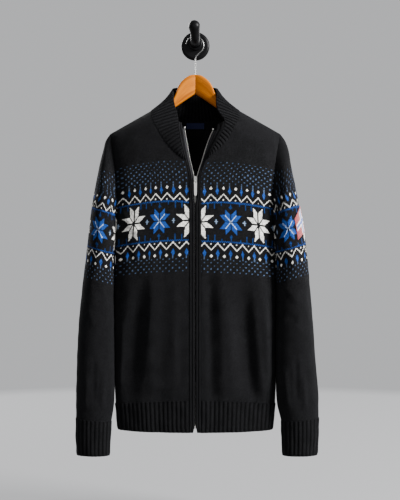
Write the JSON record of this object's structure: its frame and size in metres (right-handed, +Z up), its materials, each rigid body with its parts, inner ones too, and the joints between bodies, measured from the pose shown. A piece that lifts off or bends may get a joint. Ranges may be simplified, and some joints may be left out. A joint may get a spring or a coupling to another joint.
{
  "type": "knitted cardigan on a hanger and wall hook",
  "caption": "Zip-front knitted cardigan with a star-patterned band, stand collar and ribbed edges, hung on a wooden hanger from a round wall hook.",
  "frame": {"origin": "middle of the flat back of the wall plate, on the wall", "axes": "+X to the viewer's right, +Y into the wall, +Z up; the viewer is at -Y"},
  "size_m": [0.5349, 0.1155, 0.9553],
  "materials": {
    "knit": "charcoal wool stockinette with a band of white and blue stars",
    "rib": "charcoal wool rib",
    "tape": "woven black zip tape",
    "label": "bare woven dark blue",
    "patch": "stitched red field with a white-edged blue cross",
    "zip": "polished silver metal",
    "wood": "honey-coloured satin varnish",
    "wire": "bright wire",
    "hook": "satin black coating"
  },
  "bodies": {
    "garment": {"back": "knit", "front_left": "knit", "front_right": "knit", "sleeve_left": "knit", "sleeve_right": "knit", "cuff_left": "rib", "cuff_right": "rib", "hem_back": "rib", "hem_front_left": "rib", "hem_front_right": "rib", "collar": "rib", "band_left": "rib", "band_right": "rib", "tape_left": "tape", "tape_right": "tape", "teeth_left": "zip", "teeth_right": "zip", "stop_left": "zip", "stop_right": "zip", "zip_box": "zip", "zip_slider": "zip", "neck_label": "label", "flag_patch": "patch", "hanger": "wood", "hanger_hook": "wire", "wall_plate": "hook", "peg_boss": "hook", "wall_peg": "hook"},
    "pull_tab": {"zip_pull": "zip"}
  },
  "joints": [
    {"name": "pull_swing", "type": "hinge", "parent": "garment", "child": "pull_tab", "pos_m": [0.0007, -0.1126, -0.3135], "axis": [1, 0, 0], "range_deg": [-170, 0]}
  ]
}
